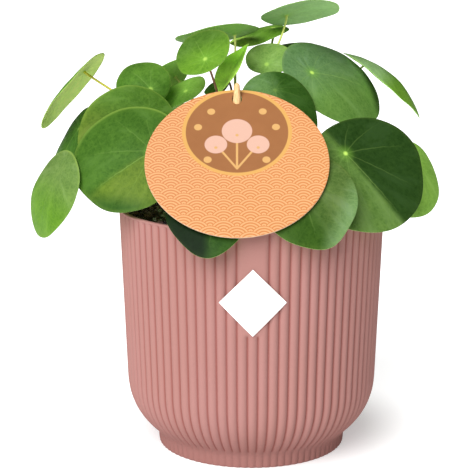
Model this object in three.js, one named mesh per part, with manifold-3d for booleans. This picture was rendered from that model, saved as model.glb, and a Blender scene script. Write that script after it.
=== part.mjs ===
// A potted Chinese money plant: a ribbed pot of soil, a trunk with its leaf stalks, round leaves
// that the stalks meet from below, and a round card held up by a wooden pick.
// Millimetres, +Z up. The origin is the middle of the pot's flat foot, and -Y is the front.

import * as THREE from "three";
import { mergeVertices } from "three/addons/utils/BufferGeometryUtils.js";
import Module from "manifold-3d";

const wasm = await Module();
wasm.setup();

// Gap left between pieces that touch
const SEAT = 0.3;

// Pot: a straight wall that widens upwards, a round belly and a short foot, as radius and height
const RIM = new THREE.Vector2(69.5, 128);
const LIP_HEIGHT = 2;
const LIP_EASE = 0.4;
const WALL_END = new THREE.Vector2(66, 37);
const BELLY_PULL_TOP = new THREE.Vector2(65.3, 22);
const BELLY_PULL_LOW = new THREE.Vector2(57.7, 13.7);
const BELLY_END = new THREE.Vector2(49.6, 7.2);
const BELLY_STEPS = 5;
const FOOT_TOP = new THREE.Vector2(50.2, 4.5);
const FOOT_RADIUS = 49.8;
const POT_WALL = 2.4;
const POT_FLOOR = 4;
const INSIDE_BEND_PLACES = [0.45, 0.75];

// Ribs, and the plain strip, three ribs wide, that runs down the front
const RIBS = 80;
const RIB_DEPTH = 1;
const FOOT_RIB_DEPTH = 0.5;
const RIB_CORNERS = [0, 0.27, 0.73];
const STRIP_RIBS = 3;
const STRIP_FOOT = 75;
const FRONT = -Math.PI / 2;

// Label: a plain square turned onto its corner
const LABEL_HALF_DIAGONAL = 17;
const LABEL_HEIGHT = 92;
const LABEL_THICKNESS = 0.6;
const LABEL_CELLS = 6;

// Soil
const SOIL_TOP = 121;
const SOIL_RINGS = 6;
const SOIL_SECTORS = 36;
const SOIL_LUMPS = 1.3;

// Trunk and leaf stalks
const TRUNK_FOOT = new THREE.Vector3(-8, 11, 92);
const TRUNK_BEND = new THREE.Vector3(-11, 9, 121);
const TRUNK_TOP = new THREE.Vector3(-9, 10, 150);
const TRUNK_RADIUS = 4;
const TRUNK_SIDES = 10;
const TRUNK_STEPS = 5;
const CROWN_RADIUS = 5.5;
const STALK_RADIUS = 0.95;
const STALK_SIDES = 6;
const STALK_STEPS = 6;
const STALK_SPREAD = 0.33;
const STALK_RISE = 0.1;
const STALK_BEND = 0.1;

// Leaf blades: a grid of rings round the hub, which sits towards the blade's base
const LEAF_THICKNESS = 0.9;
const LEAF_RINGS = [0.35, 0.7, 1];
const LEAF_SECTORS = 16;
const HUB_SETBACK = 0.26;
const TIP_POINT = 0.03;
const RIM_WAVE = 0.5;

// Card and pick
const CARD_RADIUS = 45.6;
const CARD_THICKNESS = 0.8;
const CARD_CENTRE = new THREE.Vector3(-7.7, -45.6, 157.9);
const CARD_LEAN = THREE.MathUtils.degToRad(43.6);
const CARD_SEGMENTS = 32;
const CARD_HOLE_SEGMENTS = 6;
const CARD_HOLE_RISE = 39.8;
const CARD_HOLE_HALF_WIDTH = 2.8;
const CARD_HOLE_HALF_HEIGHT = 3.6;
const PICK_RADIUS = 2.2;
const PICK_TIP_RADIUS = 1.3;
const PICK_FOOT = 96;
const PICK_TOP = 194;
const PICK_TAPER = 11;
const PICK_SIDES = 12;

const COLOURS = {
  pot: 0xcd968c,
  label: 0xf7f7f5,
  soil: 0x30261f,
  stem: 0x7f8f45,
  deep: 0x35601f,
  mid: 0x5a8f3f,
  bright: 0x86b840,
  pale: 0x8fbf66,
  card: 0xffc68a,
  pick: 0xd9a867,
};

// Leaves. Lean is the compass way the upper face looks (0 is +X, 90 the back), tilt its angle from
// level, and turn the tip's angle from straight downhill. Fold lifts the two halves along the
// midrib, curl takes the tip down, and from is the height on the trunk where the stalk starts.
// name, hub, lean, tilt, turn, length, width, dome, fold, curl, from, shade
const LEAVES = [
  ["far_left", [-90, 26, 196], 167, 51, 18, 49, 45, 3, 0, 1, 136, "pale"],
  ["left_dome", [-53, 10, 188], -96, 50, -137, 29, 29, 4, 0, 1, 138, "mid"],
  ["left_broad", [-54, -4, 177], -86, 56, -54, 52, 48, 4, 0, 2, 141, "mid"],
  ["front_left", [-50, -36, 162], -109, 61, -78, 59, 57, 4, -2, 2, 132, "mid"],
  ["left_dark", [-92, 17, 166], -153, 65, -9, 50, 44, 4, 0, 2, 135, "deep"],
  ["left_low", [-99, -18, 148], -145, 69, -15, 46, 42, 3, 0, 1, 130, "mid"],
  ["top_bright", [-24, -14, 206], -126, 44, -137, 32, 30, 2, 0, 0, 150, "bright"],
  ["top_saucer", [-9, 22, 216], 116, 16, 29, 46, 42, -3, 0, 0, 150, "pale"],
  ["top_mid", [12, 52, 217], -151, 17, -24, 32, 34, 3, 0, 0, 149, "deep"],
  ["top_right", [19, 42, 225], 106, 20, -153, 44, 40, 3, 0, 0, 150, "pale"],
  ["young", [-13, 3, 193], -157, 53, 193, 29, 22, 0, 3, 0, 150, "deep"],
  ["top_pale", [8, 20, 200], -103, 43, 178, 22, 25, 2, 0, 0, 149, "mid"],
  ["right_big", [32, 16, 196], -46, 46, 67, 63, 56, 4, 0, 2, 147, "mid"],
  ["behind_card", [12, -5, 189], -76, 53, 3, 50, 41, 4, 0, 1, 143, "deep"],
  ["far_right", [65, 53, 199], 3, 37, -8, 52, 45, 6, 0, 2, 142, "pale"],
  ["right_dark", [47, -30, 160], -66, 54, 35, 60, 71, 1, 0, 0, 133, "deep"],
  ["front_right", [20, -49, 153], -87, 43, 20, 56, 51, 2, 1, 4, 129, "deep"],
  ["right_low", [87, 10, 150], -50, 64, -30, 42, 39, 3, 0, 1, 131, "deep"],
  ["front_low", [-21, -55, 147], -92, 42, 0, 48, 42, 2, -1, 2, 126, "deep"],
  ["left_mid", [-35, 19, 186], -150, 33, -92, 31, 28, 3, 0, 0, 147, "mid"],
  ["back_pale", [-42, 47, 191], 141, 52, 99, 30, 28, 2, 0, 0, 146, "pale"],
  ["small_dark", [-17, 17, 190], -128, 24, 1, 14, 13, 1, 0, 0, 150, "deep"],
  ["back_sliver", [25, 50, 204], -90, 12, 180, 30, 30, 2, 0, 0, 147, "mid"],
  ["back_left", [-71, 45, 156], 124, 51, 47, 40, 38, 3, 0, 1, 133, "mid"],
  ["back_midleft", [-28, 52, 149], 112, 45, -6, 46, 42, 3, 0, 1, 129, "mid"],
  ["back_midright", [12, 52, 152], 68, 45, 6, 46, 42, 3, 0, 1, 130, "deep"],
  ["back_right", [67, 42, 142], 51, 55, -14, 44, 40, 3, 0, 1, 127, "mid"],
  ["back_top", [44, 58, 184], 68, 45, -6, 33, 32, 3, 0, 1, 140, "mid"],
  ["back_centre", [2, 57, 174], 84, 42, 8, 44, 41, 3, 0, 1, 138, "mid"],
  ["back_upper_left", [-40, 54, 170], 116, 48, -10, 38, 35, 3, 0, 1, 137, "deep"],
].map(([name, hub, lean, tilt, turn, length, width, dome, fold, curl, from, shade], index) => {
  const middle = new THREE.Vector3(...hub);
  return { name, hub: middle, lean, tilt, turn, length, width, dome, fold, curl, from, shade, index };
});

// Trunk's middle line
const trunkLine = new THREE.QuadraticBezierCurve3(TRUNK_FOOT, TRUNK_BEND, TRUNK_TOP);

const part = new THREE.Group();
export default part;

part.add(piece("pot", potGeometry(), COLOURS.pot, 0.75));
part.add(piece("label", labelGeometry(), COLOURS.label, 0.4));
part.add(piece("soil", soilGeometry(), COLOURS.soil, 1));
part.add(piece("plant_stem", stemGeometry(), COLOURS.stem, 0.5));
for (const leaf of LEAVES) {
  part.add(leafPiece(leaf));
}
part.add(cardPiece());
part.add(pickPiece());

// Pieces and closed surfaces

function piece(name, geometry, color, roughness) {
  const material = new THREE.MeshStandardMaterial({ color, roughness, metalness: 0 });
  const mesh = new THREE.Mesh(geometry, material);
  mesh.name = name;
  return mesh;
}

function geometryOf(points, triangles) {
  const geometry = new THREE.BufferGeometry();
  const numbers = points.flatMap((p) => [p.x, p.y, p.z]);
  geometry.setAttribute("position", new THREE.Float32BufferAttribute(numbers, 3));
  geometry.setIndex(triangles.flat());
  geometry.computeVertexNormals();
  return geometry;
}

// A closed surface through a list of rings, first to last. A ring has as many points as the ring
// before it, a whole number of times as many or as few, or one point alone.
function skin(rings) {
  const points = rings.flat();
  const triangles = [];
  let start = 0;
  for (let i = 0; i + 1 < rings.length; i++) {
    const here = rings[i].length;
    const next = rings[i + 1].length;
    const swapped = here > next;
    const [few, many] = swapped ? [next, here] : [here, next];
    const [fewStart, manyStart] = swapped ? [start + here, start] : [start, start + here];
    const share = many / few;
    for (let j = 0; j < many; j++) {
      const a = fewStart + Math.floor(j / share);
      const b = manyStart + j;
      const c = manyStart + ((j + 1) % many);
      triangles.push(swapped ? [a, c, b] : [a, b, c]);
      const lastOfShare = (j + 1) % share === 0;
      if (few > 1 && lastOfShare) {
        const d = fewStart + ((Math.floor(j / share) + 1) % few);
        triangles.push(swapped ? [a, d, c] : [a, c, d]);
      }
    }
    start += here;
  }
  return geometryOf(points, triangles);
}

function onCircle(radius, angle, height) {
  return new THREE.Vector3(radius * Math.cos(angle), radius * Math.sin(angle), height);
}

function evenRing(count, radius, height) {
  return Array.from({ length: count }, (_, i) => onCircle(radius, ribAngle(i * RIBS / count), height));
}

// A round bar of a few sides along a curve
function barGeometry(path, radius, sides, steps) {
  const corners = Array.from({ length: sides }, (_, i) => {
    const angle = 2 * Math.PI * i / sides;
    return new THREE.Vector2(radius * Math.cos(angle), radius * Math.sin(angle));
  });
  const section = new THREE.Shape(corners);
  section.closePath();
  return new THREE.ExtrudeGeometry(section, { steps, extrudePath: path, bevelEnabled: false });
}

// Joins and cuts

function solidOf(geometry) {
  const bare = geometry.clone();
  bare.deleteAttribute("normal");
  bare.deleteAttribute("uv");
  const merged = mergeVertices(bare, 1e-4);
  const mesh = new wasm.Mesh({
    numProp: 3,
    vertProperties: new Float32Array(merged.attributes.position.array),
    triVerts: new Uint32Array(merged.index.array),
  });
  return new wasm.Manifold(mesh);
}

function geometryOfSolid(solid) {
  const mesh = solid.getMesh();
  const geometry = new THREE.BufferGeometry();
  geometry.setAttribute("position", new THREE.BufferAttribute(mesh.vertProperties, 3));
  geometry.setIndex(new THREE.BufferAttribute(mesh.triVerts, 1));
  geometry.computeVertexNormals();
  return geometry;
}

// Pot

// The angle of a groove between two ribs: groove 0 is the strip's right edge
function ribAngle(groove) {
  return FRONT + (groove + STRIP_RIBS / 2) * 2 * Math.PI / RIBS;
}

function wallRadius(height) {
  return THREE.MathUtils.mapLinear(height, WALL_END.y, RIM.y, WALL_END.x, RIM.x);
}

function belly() {
  return new THREE.CubicBezierCurve(WALL_END, BELLY_PULL_TOP, BELLY_PULL_LOW, BELLY_END);
}

// One ring of the pot's outside, with its grooves cut to a depth
function ribbedRing(radius, height, depth, hasStrip) {
  const ring = [];
  for (let rib = 0; rib < RIBS; rib++) {
    const inStrip = hasStrip && rib > RIBS - STRIP_RIBS;
    for (const corner of RIB_CORNERS) {
      const cut = corner === 0 && !inStrip ? depth : 0;
      ring.push(onCircle(radius - cut, ribAngle(rib + corner), height));
    }
  }
  return ring;
}

// The pot's inside, from the rim down to the floor, drawn in by a margin
function insideProfile(margin) {
  const shrink = POT_WALL + margin;
  const bend = belly();
  const profile = [new THREE.Vector2(WALL_END.x - shrink, WALL_END.y)];
  for (const along of INSIDE_BEND_PLACES) {
    const outside = bend.getPoint(along);
    const inward = bend.getTangent(along).rotateAround(new THREE.Vector2(), -Math.PI / 2);
    profile.push(outside.addScaledVector(inward, shrink));
  }
  profile.push(new THREE.Vector2(BELLY_END.x - POT_WALL - margin, POT_FLOOR + margin));
  return profile;
}

function potGeometry() {
  const rings = [[new THREE.Vector3(0, 0, POT_FLOOR)]];
  for (const place of insideProfile(0).reverse()) {
    rings.push(evenRing(RIBS, place.x, place.y));
  }
  rings.push(evenRing(RIBS, RIM.x - POT_WALL + LIP_EASE, RIM.y));
  rings.push(ribbedRing(RIM.x - LIP_EASE, RIM.y, 0, true));
  rings.push(ribbedRing(wallRadius(RIM.y - LIP_HEIGHT), RIM.y - LIP_HEIGHT, 0, true));
  rings.push(ribbedRing(wallRadius(RIM.y - LIP_HEIGHT), RIM.y - LIP_HEIGHT - RIB_DEPTH, RIB_DEPTH, true));
  rings.push(ribbedRing(wallRadius(STRIP_FOOT), STRIP_FOOT, RIB_DEPTH, true));
  rings.push(ribbedRing(wallRadius(STRIP_FOOT - RIB_DEPTH), STRIP_FOOT - RIB_DEPTH, RIB_DEPTH, false));
  for (const place of belly().getPoints(BELLY_STEPS)) {
    rings.push(ribbedRing(place.x, place.y, RIB_DEPTH, false));
  }
  rings.push(ribbedRing(FOOT_TOP.x, FOOT_TOP.y, FOOT_RIB_DEPTH, false));
  rings.push(ribbedRing(FOOT_RADIUS, 0, FOOT_RIB_DEPTH, false));
  rings.push([new THREE.Vector3(0, 0, 0)]);
  return skin(rings);
}

// Label

function labelGeometry() {
  const cells = LABEL_CELLS;
  const grid = [0, LABEL_THICKNESS].map((lift) => {
    const points = [];
    for (let i = 0; i <= cells; i++) {
      for (let j = 0; j <= cells; j++) {
        const across = LABEL_HALF_DIAGONAL * (i - j) / cells;
        const up = LABEL_HALF_DIAGONAL * (i + j - cells) / cells;
        const radius = wallRadius(LABEL_HEIGHT + up) + SEAT + lift;
        points.push(onCircle(radius, FRONT + across / RIM.x, LABEL_HEIGHT + up));
      }
    }
    return points;
  });
  const size = (cells + 1) ** 2;
  const at = (i, j) => i * (cells + 1) + j;
  const triangles = [];
  for (let i = 0; i < cells; i++) {
    for (let j = 0; j < cells; j++) {
      const [a, b, c, d] = [at(i, j), at(i + 1, j), at(i + 1, j + 1), at(i, j + 1)];
      triangles.push([a, c, b], [a, d, c]);
      triangles.push([size + a, size + b, size + c], [size + a, size + c, size + d]);
    }
  }
  const steps = Array.from({ length: cells }, (_, k) => k);
  const edge = [
    ...steps.map((k) => at(k, 0)),
    ...steps.map((k) => at(cells, k)),
    ...steps.map((k) => at(cells - k, cells)),
    ...steps.map((k) => at(0, cells - k)),
  ];
  edge.forEach((a, k) => {
    const b = edge[(k + 1) % edge.length];
    triangles.push([a, b, size + b], [a, size + b, size + a]);
  });
  return geometryOf(grid.flat(), triangles);
}

// Soil

function soilHeight(x, y) {
  const lumps = Math.sin(x / 5.1 + 1) * Math.cos(y / 6.3) + 0.6 * Math.sin(x / 3.3 - y / 4.1);
  return SOIL_TOP + SOIL_LUMPS * lumps;
}

function soilGeometry() {
  const topRadius = wallRadius(SOIL_TOP) - POT_WALL - SEAT;
  const rings = [];
  for (let i = 0; i < SOIL_RINGS; i++) {
    const radius = topRadius * i / SOIL_RINGS;
    const flat = i === 0 ? [new THREE.Vector3()] : evenRing(SOIL_SECTORS, radius, 0);
    rings.push(flat.map((p) => new THREE.Vector3(p.x, p.y, soilHeight(p.x, p.y))));
  }
  rings.push(evenRing(SOIL_SECTORS, topRadius, SOIL_TOP));
  for (const place of insideProfile(2 * SEAT)) {
    rings.push(evenRing(SOIL_SECTORS, place.x, place.y));
  }
  rings.push([new THREE.Vector3(0, 0, POT_FLOOR + 2 * SEAT)]);
  const soil = solidOf(skin(rings));
  const holeFoot = TRUNK_FOOT.clone().setZ(TRUNK_FOOT.z - SEAT);
  const holeLine = new THREE.QuadraticBezierCurve3(holeFoot, TRUNK_BEND, TRUNK_TOP);
  const trunkHole = barGeometry(holeLine, TRUNK_RADIUS + SEAT, TRUNK_SIDES, TRUNK_STEPS);
  const holeRadius = PICK_RADIUS + SEAT;
  const holeLength = 2 * (SOIL_TOP - PICK_FOOT);
  const pickHole = new THREE.CylinderGeometry(holeRadius, holeRadius, holeLength, PICK_SIDES);
  pickHole.rotateX(Math.PI / 2);
  pickHole.translate(pickPlace().x, pickPlace().y, SOIL_TOP - SEAT);
  return geometryOfSolid(soil.subtract(solidOf(trunkHole)).subtract(solidOf(pickHole)));
}

// Trunk and leaf stalks

function leafAxes({ lean, tilt, turn }) {
  const [leanTo, tilted, turned] = [lean, tilt, turn].map(THREE.MathUtils.degToRad);
  const normal = new THREE.Vector3(
    Math.sin(tilted) * Math.cos(leanTo),
    Math.sin(tilted) * Math.sin(leanTo),
    Math.cos(tilted),
  );
  const downhill = new THREE.Vector3(
    Math.cos(tilted) * Math.cos(leanTo),
    Math.cos(tilted) * Math.sin(leanTo),
    -Math.sin(tilted),
  );
  const tip = downhill.applyAxisAngle(normal, turned);
  return { tip, across: normal.clone().cross(tip), normal };
}

function stalkLine(leaf) {
  const { normal } = leafAxes(leaf);
  const along = (leaf.from - TRUNK_FOOT.z) / (TRUNK_TOP.z - TRUNK_FOOT.z);
  const start = trunkLine.getPoint(along);
  const end = leaf.hub.clone().addScaledVector(normal, -LEAF_THICKNESS - SEAT);
  const reach = start.distanceTo(end);
  const leave = start.clone().lerp(end, STALK_SPREAD);
  leave.z += STALK_RISE * reach;
  const arrive = end.clone().addScaledVector(normal, -STALK_BEND * reach);
  return new THREE.CubicBezierCurve3(start, leave, arrive, end);
}

function stemGeometry() {
  let stem = solidOf(barGeometry(trunkLine, TRUNK_RADIUS, TRUNK_SIDES, TRUNK_STEPS));
  const crown = new THREE.IcosahedronGeometry(CROWN_RADIUS, 1).translate(...TRUNK_TOP.toArray());
  stem = stem.add(solidOf(crown));
  for (const leaf of LEAVES) {
    stem = stem.add(solidOf(barGeometry(stalkLine(leaf), STALK_RADIUS, STALK_SIDES, STALK_STEPS)));
  }
  return geometryOfSolid(stem);
}

// Leaf blades

// A leaf's surface above its hub, in the blade's own axes: x to the tip, y across, z up
function bladePoint(leaf, outward, sector, lift) {
  const angle = 2 * Math.PI * sector / LEAF_SECTORS;
  const middle = (0.5 - HUB_SETBACK) * leaf.length;
  const point = TIP_POINT * leaf.length * Math.max(0, Math.cos(angle)) ** 8;
  const x = outward * (middle + leaf.length / 2 * Math.cos(angle) + point);
  const y = outward * leaf.width / 2 * Math.sin(angle);
  const along = (x - middle) / (leaf.length / 2);
  const aside = y / (leaf.width / 2);
  const hubAlong = -middle / (leaf.length / 2);
  const domed = leaf.dome * (hubAlong ** 2 - along ** 2 - aside ** 2);
  const folded = leaf.fold * Math.abs(aside);
  const curled = -leaf.curl * Math.max(0, along) ** 2;
  const waved = RIM_WAVE * outward ** 2 * Math.sin(3 * angle + leaf.index);
  return new THREE.Vector3(x, y, domed + folded + curled + waved + lift);
}

function leafPiece(leaf) {
  const face = (lift) => {
    const rings = [[new THREE.Vector3(0, 0, lift)]];
    for (const outward of LEAF_RINGS) {
      rings.push(Array.from({ length: LEAF_SECTORS }, (_, i) => bladePoint(leaf, outward, i, lift)));
    }
    return rings;
  };
  const blade = bladeSkin(face(0), face(-LEAF_THICKNESS));
  const mesh = piece(`leaf_${leaf.name}`, blade, COLOURS[leaf.shade], 0.4);
  const { tip, across, normal } = leafAxes(leaf);
  mesh.matrix.makeBasis(tip, across, normal).setPosition(leaf.hub);
  mesh.matrix.decompose(mesh.position, mesh.quaternion, mesh.scale);
  return mesh;
}

// Two faces split into triangles alike, joined round their rims
function bladeSkin(upper, lower) {
  const count = upper.flat().length;
  const triangles = [];
  const corner = (ring, sector) => ring === 0 ? 0 : 1 + (ring - 1) * LEAF_SECTORS + sector % LEAF_SECTORS;
  const addBoth = (a, b, c) => triangles.push([a, b, c], [count + a, count + c, count + b]);
  for (let sector = 0; sector < LEAF_SECTORS; sector++) {
    addBoth(0, corner(1, sector), corner(1, sector + 1));
    for (let ring = 1; ring < LEAF_RINGS.length; ring++) {
      addBoth(corner(ring, sector), corner(ring + 1, sector), corner(ring + 1, sector + 1));
      addBoth(corner(ring, sector), corner(ring + 1, sector + 1), corner(ring, sector + 1));
    }
    const a = corner(LEAF_RINGS.length, sector);
    const b = corner(LEAF_RINGS.length, sector + 1);
    triangles.push([a, count + a, count + b], [a, count + b, b]);
  }
  return geometryOf([...upper.flat(), ...lower.flat()], triangles);
}

// Card and pick

// The middle of the card's hole
function pickPlace() {
  const rise = new THREE.Vector3(0, CARD_HOLE_RISE, CARD_THICKNESS / 2);
  return rise.applyAxisAngle(new THREE.Vector3(1, 0, 0), CARD_LEAN).add(CARD_CENTRE);
}

function cardPiece() {
  const outline = new THREE.Shape().absarc(0, 0, CARD_RADIUS, 0, 2 * Math.PI);
  const hole = new THREE.Path();
  hole.absellipse(0, CARD_HOLE_RISE, CARD_HOLE_HALF_WIDTH, CARD_HOLE_HALF_HEIGHT, 0, 2 * Math.PI, true);
  outline.holes.push(new THREE.Path(hole.getPoints(CARD_HOLE_SEGMENTS)));
  const settings = { depth: CARD_THICKNESS, bevelEnabled: false, curveSegments: CARD_SEGMENTS };
  const mesh = piece("card", new THREE.ExtrudeGeometry(outline, settings), COLOURS.card, 0.55);
  mesh.rotation.x = CARD_LEAN;
  mesh.position.copy(CARD_CENTRE);
  return mesh;
}

function pickPiece() {
  const profile = [
    new THREE.Vector2(0, PICK_FOOT),
    new THREE.Vector2(PICK_RADIUS, PICK_FOOT + PICK_TAPER / 2),
    new THREE.Vector2(PICK_RADIUS, PICK_TOP - PICK_TAPER),
    new THREE.Vector2(PICK_TIP_RADIUS, PICK_TOP - PICK_TIP_RADIUS),
    new THREE.Vector2(0, PICK_TOP),
  ];
  const mesh = piece("pick", new THREE.LatheGeometry(profile, PICK_SIDES), COLOURS.pick, 0.7);
  mesh.rotation.x = Math.PI / 2;
  mesh.position.set(pickPlace().x, pickPlace().y, 0);
  return mesh;
}
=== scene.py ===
"""A potted Chinese money plant: the looks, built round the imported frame.

Lengths are in millimetres until a mesh is made, and then in metres. +Z is up and -Y is the front.
"""

import math

import bpy
import numpy as np
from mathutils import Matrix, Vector


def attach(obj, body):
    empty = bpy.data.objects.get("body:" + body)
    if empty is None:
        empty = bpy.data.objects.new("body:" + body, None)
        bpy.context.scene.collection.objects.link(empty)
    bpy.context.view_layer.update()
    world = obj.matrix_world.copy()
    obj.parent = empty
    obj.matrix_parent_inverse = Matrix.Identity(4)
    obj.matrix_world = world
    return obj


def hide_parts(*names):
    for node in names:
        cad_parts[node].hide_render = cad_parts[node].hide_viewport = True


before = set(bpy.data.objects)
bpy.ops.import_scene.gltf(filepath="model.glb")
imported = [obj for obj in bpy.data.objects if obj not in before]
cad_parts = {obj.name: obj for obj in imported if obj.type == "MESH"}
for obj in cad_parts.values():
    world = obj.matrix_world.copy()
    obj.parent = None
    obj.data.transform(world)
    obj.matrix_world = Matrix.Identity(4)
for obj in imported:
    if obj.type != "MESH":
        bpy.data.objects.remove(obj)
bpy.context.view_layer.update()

MM = 0.001
UP = np.array([0.0, 0.0, 1.0])


# Colours


def srgb(red, green, blue):
    """A screen colour, 0 to 255, as the linear colour that a shader takes."""

    def linear(c):
        c = c / 255
        return c / 12.92 if c <= 0.04045 else ((c + 0.055) / 1.055) ** 2.4

    return (linear(red), linear(green), linear(blue), 1.0)


GREENS = {
    # Painted shadow of the card, on front_low
    "card_shadow_green": srgb(16, 40, 12),
    "deep": srgb(40, 68, 26),
    "forest": srgb(54, 92, 32),
    "leaf": srgb(71, 112, 38),
    "fresh": srgb(88, 131, 48),
    "lime": srgb(108, 158, 48),
    "olive": srgb(97, 126, 42),
    "moss": srgb(90, 124, 58),
    "grey": srgb(104, 144, 84),
    "haze": srgb(107, 147, 94),
    "meadow": srgb(114, 159, 76),
    "soft": srgb(114, 148, 76),
    "light": srgb(138, 188, 80),
    # As undersides, mint (top_right) and silver (far_left) are paler than a bare underside: painted
    # light shining through the blade
    "mint": srgb(146, 190, 122),
    "neon": srgb(176, 222, 92),
    "silver": srgb(208, 240, 130),
    "pale": srgb(168, 216, 122),
    "stem": srgb(134, 150, 66),
    "amber": srgb(204, 198, 62),
    "red": srgb(122, 78, 52),
    "straw": srgb(196, 208, 108),
}

# Leaf blades, as the part's source has them
# name, hub, lean, tilt, turn, length, width, dome, fold, curl, start
LEAVES = [
    ("far_left", (-90, 26, 196), 167, 51, 18, 49, 45, 3, 0, 1, 136),
    ("left_dome", (-53, 10, 188), -96, 50, -137, 29, 29, 4, 0, 1, 138),
    ("left_broad", (-54, -4, 177), -86, 56, -54, 52, 48, 4, 0, 2, 141),
    ("front_left", (-50, -36, 162), -109, 61, -78, 59, 57, 4, -2, 2, 132),
    ("left_dark", (-92, 17, 166), -153, 65, -9, 50, 44, 4, 0, 2, 135),
    ("left_low", (-99, -18, 148), -145, 69, -15, 46, 42, 3, 0, 1, 130),
    ("top_bright", (-24, -14, 206), -126, 44, -137, 32, 30, 2, 0, 0, 150),
    ("top_saucer", (-9, 22, 216), 116, 16, 29, 46, 42, -3, 0, 0, 150),
    ("top_mid", (12, 52, 217), -151, 17, -24, 32, 34, 3, 0, 0, 149),
    ("top_right", (19, 42, 225), 106, 20, -153, 44, 40, 3, 0, 0, 150),
    ("young", (-13, 3, 193), -157, 53, 193, 29, 22, 0, 3, 0, 150),
    ("top_pale", (8, 20, 200), -103, 43, 178, 22, 25, 2, 0, 0, 149),
    ("right_big", (32, 16, 196), -46, 46, 67, 63, 56, 4, 0, 2, 147),
    ("behind_card", (12, -5, 189), -76, 53, 3, 50, 41, 4, 0, 1, 143),
    ("far_right", (65, 53, 199), 3, 37, -8, 52, 45, 6, 0, 2, 142),
    ("right_dark", (47, -30, 160), -66, 54, 35, 60, 71, 1, 0, 0, 133),
    ("front_right", (20, -49, 153), -87, 43, 20, 56, 51, 2, 1, 4, 129),
    ("right_low", (87, 10, 150), -50, 64, -30, 42, 39, 3, 0, 1, 131),
    ("front_low", (-21, -55, 147), -92, 42, 0, 48, 42, 2, -1, 2, 126),
    ("left_mid", (-35, 19, 186), -150, 33, -92, 31, 28, 3, 0, 0, 147),
    ("back_pale", (-42, 47, 191), 141, 52, 99, 30, 28, 2, 0, 0, 146),
    ("small_dark", (-17, 17, 190), -128, 24, 1, 14, 13, 1, 0, 0, 150),
    ("back_sliver", (25, 50, 204), -90, 12, 180, 30, 30, 2, 0, 0, 147),
    ("back_left", (-71, 45, 156), 124, 51, 47, 40, 38, 3, 0, 1, 133),
    ("back_midleft", (-28, 52, 149), 112, 45, -6, 46, 42, 3, 0, 1, 129),
    ("back_midright", (12, 52, 152), 68, 45, 6, 46, 42, 3, 0, 1, 130),
    ("back_right", (67, 42, 142), 51, 55, -14, 44, 40, 3, 0, 1, 127),
    ("back_top", (44, 58, 184), 68, 45, -6, 33, 32, 3, 0, 1, 140),
    ("back_centre", (2, 57, 174), 84, 42, 8, 44, 41, 3, 0, 1, 138),
    ("back_upper_left", (-40, 54, 170), 116, 48, -10, 38, 35, 3, 0, 1, 137),
]

# Their looks: the upper face's colour, a second one and the way it lies (degrees from the tip),
# how sharply it starts, how bright the two are, the underside, the stalk, and the material slot
# name: main, second, way, sharp, gain, under, stalk, slot
# On right_dark the two colours meet at a crease with painted shade on its darker side, and
# behind_card's second colour is painted shadow
LOOKS = {
    "far_left": ("fresh", "leaf", -90, 1, 1.0, "silver", "amber", "leaf_pale"),
    "left_dome": ("fresh", "leaf", 150, 1, 0.85, "pale", "stem", "leaf_mid"),
    "left_broad": ("olive", "fresh", 200, 1, 0.67, "pale", "stem", "leaf_mid"),
    "front_left": ("leaf", "olive", 115, 7, 0.72, "pale", "stem", "leaf_mid"),
    "left_dark": ("forest", "leaf", 0, 1, 0.9, "pale", "stem", "leaf_deep"),
    "left_low": ("lime", "soft", 180, 1, 0.66, "pale", "stem", "leaf_mid"),
    "top_bright": ("lime", "fresh", 0, 1, 0.7, "pale", "red", "leaf_bright"),
    "top_saucer": ("fresh", "leaf", 90, 1, 0.8, "meadow", "straw", "leaf_pale"),
    "top_mid": ("lime", "fresh", 0, 1, 0.76, "pale", "stem", "leaf_deep"),
    "top_right": ("fresh", "leaf", 90, 1, 0.9, "mint", "straw", "leaf_pale"),
    "young": ("neon", "lime", 0, 1.2, 1.25, "pale", "red", "leaf_deep"),
    "top_pale": ("soft", "soft", 90, 1, 1.0, "pale", "stem", "leaf_mid"),
    "right_big": ("haze", "meadow", -60, 1, 0.68, "pale", "stem", "leaf_mid"),
    "behind_card": ("grey", "forest", 90, 2, 0.72, "pale", "stem", "leaf_deep"),
    "far_right": ("mint", "lime", 0, 1.6, 0.8, "pale", "stem", "leaf_pale"),
    "right_dark": ("deep", "moss", -98, 9, 0.82, "pale", "stem", "leaf_deep"),
    "front_right": ("soft", "leaf", -75, 1.5, 0.47, "pale", "stem", "leaf_deep"),
    "right_low": ("light", "light", 0, 1, 0.72, "pale", "stem", "leaf_deep"),
    "front_low": ("card_shadow_green", "forest", 90, 4, 0.6, "pale", "stem", "leaf_deep"),
    "left_mid": ("light", "fresh", 90, 1, 0.72, "pale", "stem", "leaf_mid"),
    "back_pale": ("fresh", "leaf", 0, 1, 0.85, "light", "stem", "leaf_pale"),
    "small_dark": ("forest", "leaf", 0, 1, 0.8, "pale", "red", "leaf_deep"),
    "back_sliver": ("leaf", "fresh", 0, 1, 0.8, "pale", "stem", "leaf_mid"),
    "back_left": ("leaf", "fresh", 40, 1, 0.8, "pale", "stem", "leaf_mid"),
    "back_midleft": ("leaf", "olive", 60, 1, 0.8, "pale", "stem", "leaf_mid"),
    "back_midright": ("forest", "leaf", -70, 1, 0.8, "pale", "stem", "leaf_deep"),
    "back_right": ("fresh", "leaf", 80, 1, 0.8, "pale", "stem", "leaf_mid"),
    "back_top": ("grey", "fresh", 0, 1, 0.8, "pale", "stem", "leaf_mid"),
    "back_centre": ("leaf", "fresh", 120, 1, 0.8, "pale", "stem", "leaf_mid"),
    "back_upper_left": ("forest", "leaf", -90, 1, 0.8, "pale", "stem", "leaf_deep"),
}

# A third colour along part of the rim: painted shade on front_left and right_big, painted light on
# top_mid. name: colour, way, where it starts, where it is full
EDGES = {
    "front_left": ("forest", 72, 0.6, 0.95),
    "right_big": ("deep", 10, 0.7, 0.98),
    "front_right": ("mint", 45, 0.55, 1.0),
    "top_mid": ("neon", 20, 0.3, 0.9),
    "left_dome": ("leaf", 20, 0.2, 0.9),
}
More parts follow.
